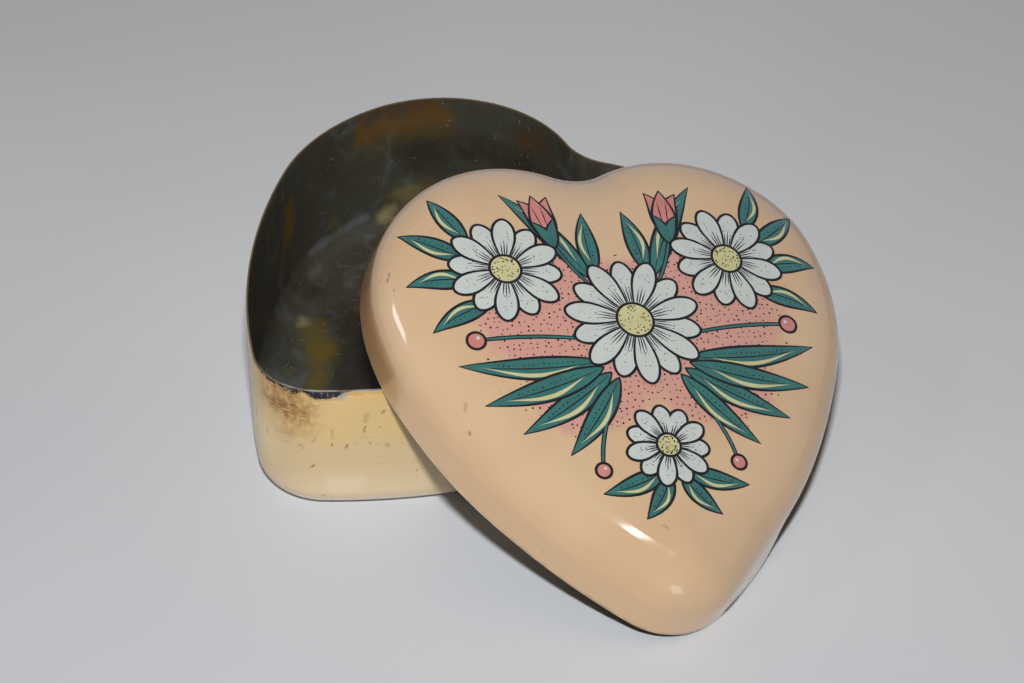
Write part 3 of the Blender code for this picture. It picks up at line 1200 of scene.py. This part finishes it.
class Ink(Enum):
    """The print's inks. Each ink is one piece, named for what it prints."""

    TEAL = "print_leaves"
    WHITE = "print_petals"
    ROSE = "print_buds"
    YELLOW = "print_lights"
    BLACK = "print_lines"


class BladeForm(Enum):
    """How a blade's width swells and closes along its midline."""

    LEAF = "pointed at both ends"
    PETAL = "narrow at the root and round at the tip"
    STEM = "even, with closed ends"


@dataclass(frozen=True)
class Blade:
    """A leaf, petal or stem in plan, in millimetres: a bowed midline with a width across it."""

    root: Plan
    tip: Plan
    half_width: float
    bow: float = 0.0
    form: BladeForm = BladeForm.LEAF
    fewest_steps: int = 15
    step: float = 0.36
    least_half: float = 0.02
    end_share: float = 0.03
    across_steps: int = 5

    @property
    def length(self) -> float:
        """The straight distance from the root to the tip."""
        return math.dist(self.root, self.tip)

    def midline(self, share: Array) -> tuple[Array, Array]:
        """The midline: a quadratic curve whose middle control point stands off the chord by the bow.

        Args:
            share: Shares of the way from the root to the tip.

        Returns:
            Points and unit vectors across the midline, each (..., 2).
        """
        root = np.array(self.root)
        tip = np.array(self.tip)
        chord = (tip - root) / self.length
        control = (root + tip) / 2 + np.array([-chord[1], chord[0]]) * self.bow
        s = share[..., None]
        points = (1 - s) ** 2 * root + 2 * s * (1 - s) * control + s**2 * tip
        along = unit((1 - s) * (control - root) + s * (tip - control))
        return points, np.stack([-along[..., 1], along[..., 0]], axis=-1)

    def swell(self, share: Array) -> Array:
        """The width's share of its largest: a power of a sine, its peak set by a power of the way along."""
        if self.form is BladeForm.LEAF:
            return np.sin(math.pi * share**0.8) ** 0.9
        if self.form is BladeForm.PETAL:
            return np.sqrt(np.sin(math.pi * share**1.6))
        return np.sin(math.pi * share) ** 0.12

    def grid(self, grow: float = 0.0, sides: Span = (-1.0, 1.0), span: Span = (0.0, 1.0)) -> Array:
        """The blade as a plan grid: the midline plus the half width times a share across.

        Args:
            grow: How far every edge is moved out.
            sides: The shares across that the grid runs between.
            span: The shares along that the grid runs between.

        Returns:
            Places, (along, across, 2).
        """
        steps = max(self.fewest_steps, int(self.length / self.step))
        even = (1.0 - np.cos(np.linspace(0.0, math.pi, steps))) / 2
        share = span[0] + (span[1] - span[0]) * even
        reach = grow / self.length
        points, across = self.midline(share * (1.0 + 2.0 * reach) - reach)
        wide = self.half_width + grow
        half = np.maximum(self.swell(np.clip(share, 0.0, 1.0)) * wide, self.least_half)
        if sides != (-1.0, 1.0):
            half = half * np.maximum(np.sin(math.pi * even), self.end_share)
        shares = np.linspace(*sides, self.across_steps)
        return points[:, None] + across[:, None] * half[:, None, None] * shares[None, :, None]


def round_grid(centre: Plan, radius: float, steps: int = 9) -> Array:
    """A disc as a plan grid: a square bent so that its edge becomes a circle, (steps, steps, 2)."""
    line = np.linspace(-1.0, 1.0, steps)
    x, y = np.meshgrid(line, line, indexing="ij")
    bent = np.stack([x * np.sqrt(1.0 - y**2 / 2), y * np.sqrt(1.0 - x**2 / 2)], axis=-1)
    return np.array(centre) + bent * radius


@dataclass
class FilmStack:
    """Closed films of one ink, gathered until they become one mesh."""

    vertices: list[Array] = field(default_factory=list)
    faces: list[list[int]] = field(default_factory=list)
    count: int = 0

    def add(self, vertices: Array, faces: Sequence[Array]) -> None:
        """Adds one film, whose faces count from its own first vertex."""
        for group in faces:
            self.faces.extend((group + self.count).tolist())
        self.vertices.append(vertices)
        self.count += len(vertices)


@dataclass(frozen=True)
class Axis:
    """A straight axis in plan: its start, in millimetres, and its angle."""

    start: Plan
    angle: float

    def at(self, along: Union[float, Array], across: Union[float, Array] = 0.0) -> Array:
        """The places at distances along and across the axis, (..., 2).

        Args:
            along: Distances from the start along the axis.
            across: Distances off the axis, to its left.

        Returns:
            Places in millimetres.
        """
        onward = np.array([math.cos(self.angle), math.sin(self.angle)])
        left = np.array([-onward[1], onward[0]])
        return np.array(self.start) + np.multiply.outer(along, onward) + np.multiply.outer(across, left)


def mirrored(plan: Array, both: bool) -> list[Array]:
    """Plan places, and where both sides are printed also their mirror image across the heart's middle."""
    return [plan * np.array([side, 1.0]) for side in ((1.0, -1.0) if both else (1.0,))]


@dataclass
class FlowerPrint:
    """A flower spray printed on the lid: thin closed films of ink that follow the dome, mostly mirrored."""

    lid: LidTin
    outline: float = 0.42
    hairline_half: float = 0.095
    rib_half: float = 0.10
    rib_span: Span = (0.04, 0.80)
    light_across: Span = (0.52, 0.92)
    light_span: Span = (0.16, 0.86)
    leaf_dot_span: Span = (0.20, 0.74)
    leaf_dot_across: float = 0.42
    stem_half: float = 0.16
    stem_outline: float = 0.20
    core_share: float = 0.25
    petal_overlap: float = 1.12
    petal_dots: int = 7
    core_dots: int = 46
    stipple_spacing: float = 0.95
    stipple_x: Span = (0.4, 27.0)
    stipple_y: Span = (-16.0, 26.0)
    base_lift: float = 14 * MICRON
    level_step: float = 15 * MICRON
    coat_step: float = 5 * MICRON
    film: float = 3 * MICRON
    dot_sides: int = 7
    sharp_angle: float = math.radians(50.0)
    seed: int = 11
    stacks: dict[Ink, FilmStack] = field(default_factory=dict)

    def __post_init__(self) -> None:
        """Starts an empty stack for each ink, and the seeded random numbers."""
        self.stacks = {ink: FilmStack() for ink in Ink}
        self.random = np.random.default_rng(self.seed)

    def skins(self, plan: Array, level: float, coat: int) -> Array:
        """The bottom and the top of a film over plan places, in metres: (2, ..., 3)."""
        low = self.base_lift + level * self.level_step + coat * self.coat_step
        return np.stack([self.lid.raised(plan * MM, low), self.lid.raised(plan * MM, low + self.film)])

    def lay(self, ink: Ink, plan: Array, level: float, coat: int = 0, both: bool = True) -> None:
        """Lays a closed film over a plan grid: top and bottom quads, and a wall round the edge.

        Args:
            ink: The ink.
            plan: Places in millimetres, (along, across, 2).
            level: How many motifs it lies over.
            coat: Its place in the motif: 0 for the outline, 1 for the colour, 2 for what is drawn on it.
            both: Whether a mirrored film is laid too.
        """
        for grid in mirrored(plan, both):
            first = grid[1:, :-1] - grid[:-1, :-1]
            second = grid[:-1, 1:] - grid[:-1, :-1]
            turned = first[..., 0] * second[..., 1] - first[..., 1] * second[..., 0]
            if turned.sum() < 0:
                grid = grid[:, ::-1]
            along, across = grid.shape[:2]
            top = np.arange(along * across).reshape(along, across) + along * across
            quads = np.stack([top[:-1, :-1], top[1:, :-1], top[1:, 1:], top[:-1, 1:]], axis=-1).reshape(-1, 4)
            loop = np.concatenate([top[:, 0], top[-1, 1:], top[-2::-1, -1], top[0, -2:0:-1]])
            onward = np.roll(loop, -1)
            wall = np.stack([loop - along * across, onward - along * across, onward, loop], axis=-1)
            underside = quads[:, ::-1] - along * across
            self.stacks[ink].add(self.skins(grid, level, coat).reshape(-1, 3), [quads, underside, wall])

    def dots(self, places: Array, radii: Array, level: float, both: bool = True) -> None:
        """Lays black dots as closed many-sided discs: centre plus radius times a unit vector.

        Args:
            places: Centres in millimetres, (count, 2).
            radii: Radii in millimetres, (count,).
            level: How many motifs they lie over.
            both: Whether mirrored dots are laid too.
        """
        angle = np.arange(self.dot_sides) * 2 * math.pi / self.dot_sides
        spokes = np.stack([np.cos(angle), np.sin(angle)], axis=-1)
        for centres in mirrored(places, both):
            rims = centres[:, None] + radii[:, None, None] * spokes[None]
            corners = np.arange(rims.shape[0] * self.dot_sides).reshape(-1, self.dot_sides)
            top = corners + corners.size
            onward = np.roll(corners, -1, axis=1)
            wall = np.stack([corners, onward, onward + corners.size, top], axis=-1).reshape(-1, 4)
            faces = [top, corners[:, ::-1], wall]
            self.stacks[Ink.BLACK].add(self.skins(rims, level, 2).reshape(-1, 3), faces)

    def blade(self, ink: Ink, blade: Blade, level: float, both: bool = True) -> None:
        """Lays a blade of ink on a black blade that stands out round it as its outline."""
        self.lay(Ink.BLACK, blade.grid(self.outline), level, 0, both)
        self.lay(ink, blade.grid(), level, 1, both)

    def disc(self, ink: Ink, centre: Plan, radius: float, level: float, both: bool = True) -> None:
        """Lays a disc of ink on a black disc that stands out round it as its outline."""
        self.lay(Ink.BLACK, round_grid(centre, radius + self.outline), level, 0, both)
        self.lay(ink, round_grid(centre, radius), level, 1, both)

    def hairline(self, root: Plan, tip: Plan, level: float, both: bool = True) -> None:
        """Draws a fine tapering black line."""
        self.lay(Ink.BLACK, Blade(root, tip, self.hairline_half).grid(), level, 2, both)

    def leaf(self, root: Plan, tip: Plan, half_width: float, bow: float, level: float) -> None:
        """Draws a teal leaf with a midrib, a pale light along one edge and a row of dots along the other.

        Args:
            root: Where it starts, in millimetres.
            tip: Where it ends.
            half_width: Half its largest width.
            bow: How far its midline's control point stands off the chord; its sign names the lit side.
            level: How many motifs it lies over.
        """
        leaf = Blade(root, tip, half_width, bow)
        self.blade(Ink.TEAL, leaf, level)
        lit = 1.0 if bow >= 0 else -1.0
        near, far = self.light_across
        self.lay(Ink.YELLOW, leaf.grid(sides=(near * lit, far * lit), span=self.light_span), level, 2)
        self.lay(Ink.BLACK, Blade(root, tip, self.rib_half, bow).grid(span=self.rib_span), level, 2)
        share = np.linspace(*self.leaf_dot_span, max(4, int(leaf.length * 0.8)))
        points, across = leaf.midline(share)
        reach = leaf.swell(share) * half_width * (-self.leaf_dot_across * lit)
        places = points + across * reach[:, None] + self.random.uniform(-0.12, 0.12, points.shape)
        self.dots(places, self.random.uniform(0.09, 0.15, len(share)), level)

    def daisy(
        self, centre: Plan, radius: float, petals: int, level: float, both: bool, turn: float = 0.0
    ) -> None:
        """Draws a daisy: two rows of white petals with hairlines and dots, and a stippled yellow middle.

        Petals stand at even angles, and every other one lies over its neighbours. A petal's width is its
        share of the circle at 0.60 of the radius, times the overlap.

        Args:
            centre: Its middle, in millimetres.
            radius: Its petals' reach.
            petals: How many petals.
            level: How many motifs it lies over.
            both: Whether a mirrored daisy is drawn too.
            turn: The first petal's angle.
        """
        core = radius * self.core_share
        half_width = math.pi * radius * 0.60 / petals * self.petal_overlap
        for number in range(petals):
            axis = Axis(centre, turn + 2 * math.pi * number / petals)
            row = level + number % 2
            length = radius * (1.0 if number % 2 else 0.95)
            petal = Blade(axis.at(core * 0.6), axis.at(length), half_width, form=BladeForm.PETAL)
            self.blade(Ink.WHITE, petal, row, both)
            for lean in (-0.34, 0.0, 0.34):
                start = axis.at(core * 0.9, lean * half_width * 0.5)
                end = axis.at(radius * (0.60 - 0.16 * abs(lean)), lean * half_width)
                self.hairline(start, end, row, both)
            out = self.random.uniform(0.52, 0.82, self.petal_dots) * radius
            off = self.random.uniform(-0.55, 0.55, self.petal_dots) * half_width
            radii = self.random.uniform(0.06, 0.12, self.petal_dots) * (1.25 - out / radius * 0.5)
            self.dots(axis.at(out, off), radii, row, both)
        self.disc(Ink.YELLOW, centre, core, level + 2, both)
        ring = self.random.uniform(0.0, 1.0, (self.core_dots, 2))
        angle = ring[:, 0] * 2 * math.pi
        reach = np.sqrt(ring[:, 1]) * core * 0.92
        places = np.array(centre) + np.stack([np.cos(angle), np.sin(angle)], axis=-1) * reach[:, None]
        self.dots(places, 0.07 + 0.08 * reach / core, level + 2, both)

    def bud(self, foot: Plan, tip: Plan, level: float) -> None:
        """Draws a closed bud: two outer rose petals that bow apart, one between them, and a teal cup.

        Every measure is a share of the bud's length.

        Args:
            foot: Where the stem meets it, in millimetres.
            tip: The middle petal's tip.
            level: How many motifs it lies over.
        """
        length = math.dist(foot, tip)
        axis = Axis(foot, math.atan2(tip[1] - foot[1], tip[0] - foot[0]))
        for side in (length, -length):
            end = axis.at(length * 0.94, side * 0.26)
            self.blade(Ink.ROSE, Blade(foot, end, length * 0.17, side * -0.16), level)
        self.blade(Ink.ROSE, Blade(foot, tip, length * 0.19), level + 1)
        for side in (-length, length):
            end = axis.at(length * 0.80, side * 0.08)
            self.hairline(axis.at(length * 0.34, side * 0.048), end, level + 1)
        for side in (length, -length):
            end = axis.at(length * 0.46, side * 0.20)
            self.blade(Ink.TEAL, Blade(axis.at(length * -0.10), end, length * 0.085, side * -0.07), level + 2)

    def stem(self, root: Plan, tip: Plan, bow: float, level: float) -> None:
        """Draws a thin teal stem."""
        stem = Blade(root, tip, self.stem_half, bow, BladeForm.STEM)
        self.lay(Ink.BLACK, stem.grid(self.stem_outline), level, 0)
        self.lay(Ink.TEAL, stem.grid(), level, 1)

    def berry(self, place: Plan, radius: float, level: float) -> None:
        """Draws a round rose berry with a pale light."""
        self.disc(Ink.ROSE, place, radius, level)
        light = (place[0] - radius * 0.3, place[1] + radius * 0.35)
        self.lay(Ink.WHITE, round_grid(light, radius * 0.26, 5), level, 2)

    def stipple(self, ovals: Sequence[tuple[Plan, Plan]]) -> None:
        """Scatters dots over the blush: a jittered grid, kept inside ovals and thinned towards their edges.

        Args:
            ovals: The middle and the two radii of each oval, in millimetres.
        """
        lines = [np.arange(*span, self.stipple_spacing) for span in (self.stipple_x, self.stipple_y)]
        places = np.stack(np.meshgrid(*lines, indexing="ij"), axis=-1).reshape(-1, 2)
        places = places + self.random.uniform(-0.36, 0.36, places.shape) * self.stipple_spacing
        shares = [(places - np.array(middle)) / np.array(radii) for middle, radii in ovals]
        out = np.linalg.norm(shares, axis=-1).min(axis=0)
        kept = out + self.random.uniform(-0.12, 0.22, len(places)) < 0.95
        places = places[kept]
        self.dots(places, self.random.uniform(0.09, 0.18, len(places)), -1.0)

    def arrange(self) -> None:
        """Draws the whole spray, from the back to the front."""
        self.stipple(LidEnamel(self.lid.pose).blush_ovals)
        for root, tip, half_width, bow, level in (
            ((7.0, 0.0), (27.5, 1.5), 1.55, -1.8, 0),
            ((7.0, -1.0), (25.0, -5.0), 1.65, -1.4, 1),
            ((6.0, -2.0), (20.5, -10.0), 1.60, -1.2, 0),
            ((5.0, -3.0), (14.5, -14.0), 1.45, -1.0, 1),
            ((4.0, 15.0), (3.2, 25.5), 1.35, -0.6, 0),
            ((5.0, 14.0), (15.0, 29.5), 1.45, 1.2, 0),
            ((22.0, 22.0), (25.5, 30.0), 1.25, -0.8, 0),
            ((23.0, 19.0), (31.0, 24.5), 1.35, -0.8, 0),
            ((23.0, 15.0), (32.0, 15.5), 1.35, 0.9, 0),
            ((21.0, 11.0), (30.0, 7.5), 1.30, 0.9, 0),
            ((1.5, -18.0), (11.0, -20.5), 1.30, -0.9, 0),
            ((1.0, -19.0), (5.6, -24.8), 1.20, -0.8, 1),
        ):
            self.leaf(root, tip, half_width, bow, level)
        self.stem((5.5, 13.0), (9.2, 20.5), -0.7, 1)
        self.bud((9.2, 20.5), (10.2, 29.0), 1)
        for root, place, radius in (((9.0, 4.0), (24.5, 5.2), 1.15), ((8.0, -9.0), (10.5, -17.0), 0.95)):
            self.stem(root, place, 0.8, 1)
            self.berry(place, radius, 2)
        self.daisy((17.5, 16.5), 8.6, 12, 3, True, 0.2)
        self.daisy((0.0, -14.0), 6.4, 11, 3, False, math.pi / 2)
        self.daisy((0.0, 6.5), 10.4, 14, 4, False, math.pi / 2)

    def build(self) -> list[bpy.types.Object]:
        """Draws the spray and turns each ink's films into a piece that rides on the lid.

        Returns:
            The printed pieces, one for each ink.
        """
        self.arrange()
        inks = {
            Ink.TEAL: PrintInk("teal ink", (32, 102, 94), (20, 82, 78), self.lid.pose),
            Ink.WHITE: PrintInk("white ink", (194, 200, 195), (183, 190, 189), self.lid.pose),
            Ink.ROSE: PrintInk("rose ink", (198, 126, 118), (182, 104, 98), self.lid.pose),
            Ink.YELLOW: PrintInk("yellow ink", (198, 194, 146), (186, 178, 120), self.lid.pose),
            Ink.BLACK: PrintInk("black ink", (20, 18, 20), (34, 30, 30), self.lid.pose, 0.3),
        }
        pieces = []
        for ink, finish in inks.items():
            stack = self.stacks[ink]
            mesh = bpy.data.meshes.new(ink.value)
            mesh.from_pydata(np.concatenate(stack.vertices).tolist(), [], stack.faces)
            mesh.materials.append(finish.make())
            mesh.shade_smooth()
            mesh.set_sharp_from_angle(angle=self.sharp_angle)
            piece = add_object(ink.value, mesh)
            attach(piece, "lid")
            pieces.append(piece)
        return pieces


# Floor, light and camera


class LampRole(Enum):
    """What a lamp does."""

    LIGHT = "lights the object and leaves no mirror image"
    GLINT = "only shows as a mirror image in the gloss"


@dataclass(frozen=True)
class Lamp:
    """A rectangular area lamp: its place and what it faces, its sides, its power and its beam's angle."""

    name: str
    place: Place
    aim: Place
    side: float
    other_side: float
    watts: float
    role: LampRole
    along: Place
    beam: float = math.pi

    def build(self) -> bpy.types.Object:
        """Builds the lamp, with its longer side as near to the given direction as its facing allows.

        Returns:
            The lamp.
        """
        light = bpy.data.lights.new(self.name, "AREA")
        light.shape = "RECTANGLE"
        light.size = self.side
        light.size_y = self.other_side
        light.energy = self.watts
        light.spread = self.beam
        piece = add_object(self.name, light)
        away = (Vector(self.place) - Vector(self.aim)).normalized()
        along = (Vector(self.along) - away * away.dot(Vector(self.along))).normalized()
        turn = Matrix((along, away.cross(along), away)).transposed().to_4x4()
        piece.matrix_world = Matrix.Translation(self.place) @ turn
        piece.visible_glossy = self.role is LampRole.GLINT
        piece.visible_diffuse = self.role is LampRole.LIGHT
        return piece


@dataclass
class Studio:
    """The pale floor, soft lamps, an even fill and the photograph's camera."""

    floor_radius: float = 2.5
    floor_sides: int = 96
    floor_clouds: Cloud = Cloud(120.0, 0.35, 0.65, 3.0)
    floor_colour: Colour = (212, 216, 222)
    floor_shade: Colour = (206, 211, 218)
    fill_colour: Colour = (240, 206, 158)
    fill_strength: float = 0.12
    room_colour: Colour = (206, 222, 244)
    room_strength: float = 0.75
    camera_place: Place = (0.3223, -0.3616, 0.4045)
    camera_aim: Place = (0.0025, 0.0135, 0.0)
    camera_roll: float = 0.010
    camera_lens: float = 144.73
    camera_sensor: float = 36.0
    lamps: tuple[Lamp, ...] = (
        Lamp(
            "key lamp", (0.2791, -0.3109, 0.4857), (-0.003, 0.001, 0.02), 0.04, 0.02, 0.80,
            LampRole.LIGHT, (0.75, 0.66, 0.0), math.radians(91.0),
        ),
        Lamp(
            "left light", (-0.4385, -0.4086, 0.6743), (0.025, 0.0, 0.02), 0.21, 0.09, 0.30,
            LampRole.LIGHT, (0.616, -0.786, -0.055),
        ),
        Lamp(
            "left glint", (-0.4656, -0.4919, 0.6359), (0.025, 0.0, 0.02), 0.24, 0.14, 0.85,
            LampRole.GLINT, (0.803, -0.523, 0.287),
        ),
        Lamp(
            "top glint", (0.4223, -0.0198, 0.8273), (0.025, 0.0, 0.02), 0.018, 0.13, 0.23,
            LampRole.GLINT, (0.898, 0.147, -0.415),
        ),
        Lamp(
            "tip glint", (0.80, -0.50, 0.195), (0.065, -0.024, 0.011), 0.22, 0.30, 0.5,
            LampRole.GLINT, (0.53, 0.85, 0.0),
        ),
    )

    def floor_finish(self) -> bpy.types.Material:
        """A pale matt table top with faint clouds."""
        bench = Bench.material("floor")
        place = bench.place()
        clouds = self.floor_clouds.mask(bench, place)
        colour = bench.mix(clouds, linear(self.floor_colour), linear(self.floor_shade))
        roughness = 0.55 + bench.noise(place, grain=8.0, detail=3.0) * 0.1
        return bench.finish(Base_Color=colour, Roughness=roughness, Specular_IOR_Level=0.2)

    def build_floor(self) -> bpy.types.Object:
        """A round floor under the object: one face, whose corners lie on a circle about the origin."""
        angle = np.linspace(0.0, 2 * math.pi, self.floor_sides + 1)[:-1]
        rim = np.stack([np.cos(angle), np.sin(angle), np.zeros_like(angle)], axis=-1) * self.floor_radius
        mesh = bpy.data.meshes.new("floor")
        mesh.from_pydata(rim.tolist(), [], [list(range(len(rim)))])
        mesh.materials.append(self.floor_finish())
        floor = add_object("floor", mesh)
        return floor

    def build_fill(self) -> None:
        """An even world: a weak fill for the shadows, and a paler room where gloss mirrors it."""
        bench = Bench(bpy.data.worlds.new("studio fill"), "Background")
        mirrored = bench.node("ShaderNodeLightPath", output="Is Glossy Ray")
        strength = self.fill_strength + mirrored * (self.room_strength - self.fill_strength)
        colour = bench.mix(mirrored, linear(self.fill_colour), linear(self.room_colour))
        bpy.context.scene.world = bench.finish(Color=colour, Strength=strength)

    def build_camera(self) -> bpy.types.Object:
        """The camera at the photograph's place, turned a little about its own line of sight."""
        data = bpy.data.cameras.new("camera")
        data.sensor_width = self.camera_sensor
        data.lens = self.camera_lens
        camera = add_object("camera", data)
        forward = (Vector(self.camera_aim) - Vector(self.camera_place)).normalized()
        level = forward.cross(Vector((0.0, 0.0, 1.0))).normalized()
        down = forward.cross(level)
        right = level * math.cos(self.camera_roll) + down * math.sin(self.camera_roll)
        up = level * math.sin(self.camera_roll) - down * math.cos(self.camera_roll)
        turn = Matrix((right, up, -forward)).transposed().to_4x4()
        camera.matrix_world = Matrix.Translation(self.camera_place) @ turn
        bpy.context.scene.camera = camera
        return camera

    def build(self) -> None:
        """Builds the whole studio."""
        bpy.context.scene.view_settings.view_transform = "Standard"
        self.build_floor()
        for lamp in self.lamps:
            lamp.build()
        self.build_fill()
        self.build_camera()


def main() -> None:
    """Builds the studio, the base, the lid and the print, in that order."""
    logging.basicConfig(level=logging.INFO, format="%(name)s: %(message)s")
    outline = HeartOutline()
    sheet = Sheet()
    Studio().build()
    base = BaseTin(outline, sheet).build()
    LOG.info("%s: %d faces", base.name, len(base.data.polygons))
    lid_form = LidTin(outline, sheet, LidPose())
    lid = lid_form.build()
    LOG.info("%s: %d faces", lid.name, len(lid.data.polygons))
    for film in FlowerPrint(lid_form).build():
        LOG.info("%s: %d faces", film.name, len(film.data.polygons))


if __name__ == "__main__":
    main()
